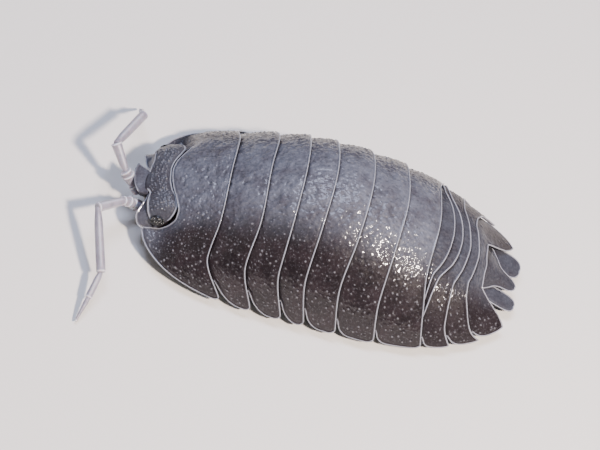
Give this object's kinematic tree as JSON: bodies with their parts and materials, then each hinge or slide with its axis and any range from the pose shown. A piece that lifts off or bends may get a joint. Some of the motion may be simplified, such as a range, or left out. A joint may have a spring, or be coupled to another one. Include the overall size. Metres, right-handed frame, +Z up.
{
  "type": "woodlouse",
  "caption": "Life-size pill woodlouse on its feet: domed slate-grey shell of overlapping plates, rounded tail fan, long elbowed antennae and short legs tucked under its skirt.",
  "frame": {"origin": "on the floor, under the middle of the model's bounding box with the antennae", "axes": "+X from head to tail along the body, -Y to the animal's left, +Z up from the floor that the feet stand on"},
  "size_m": [0.0196, 0.0124, 0.0053],
  "materials": {
    "shell": "slate-grey cuticle, finely granular, semi-gloss, with pale rims",
    "tail_shell": "slightly paler slate-grey cuticle, satin, with pale rims",
    "feeler": "pale lilac-grey cuticle, satin and slightly translucent",
    "leg": "pale brownish-grey cuticle, satin",
    "eye": "glossy black beads"
  },
  "bodies": {
    "root": {"antenna_left": "feeler", "antenna_right": "feeler", "eye_left": "eye", "eye_right": "eye", "head": "shell", "leg_left_1": "leg", "leg_left_2": "leg", "leg_left_3": "leg", "leg_left_4": "leg", "leg_left_5": "leg", "leg_left_6": "leg", "leg_left_7": "leg", "leg_right_1": "leg", "leg_right_2": "leg", "leg_right_3": "leg", "leg_right_4": "leg", "leg_right_5": "leg", "leg_right_6": "leg", "leg_right_7": "leg", "pereonite_1": "shell", "pereonite_2": "shell", "pereonite_3": "shell", "pereonite_4": "shell", "pereonite_5": "shell", "pereonite_6": "shell", "pereonite_7": "shell", "pleon": "tail_shell", "telson": "tail_shell", "uropod_left": "tail_shell", "uropod_right": "tail_shell"}
  },
  "joints": []
}
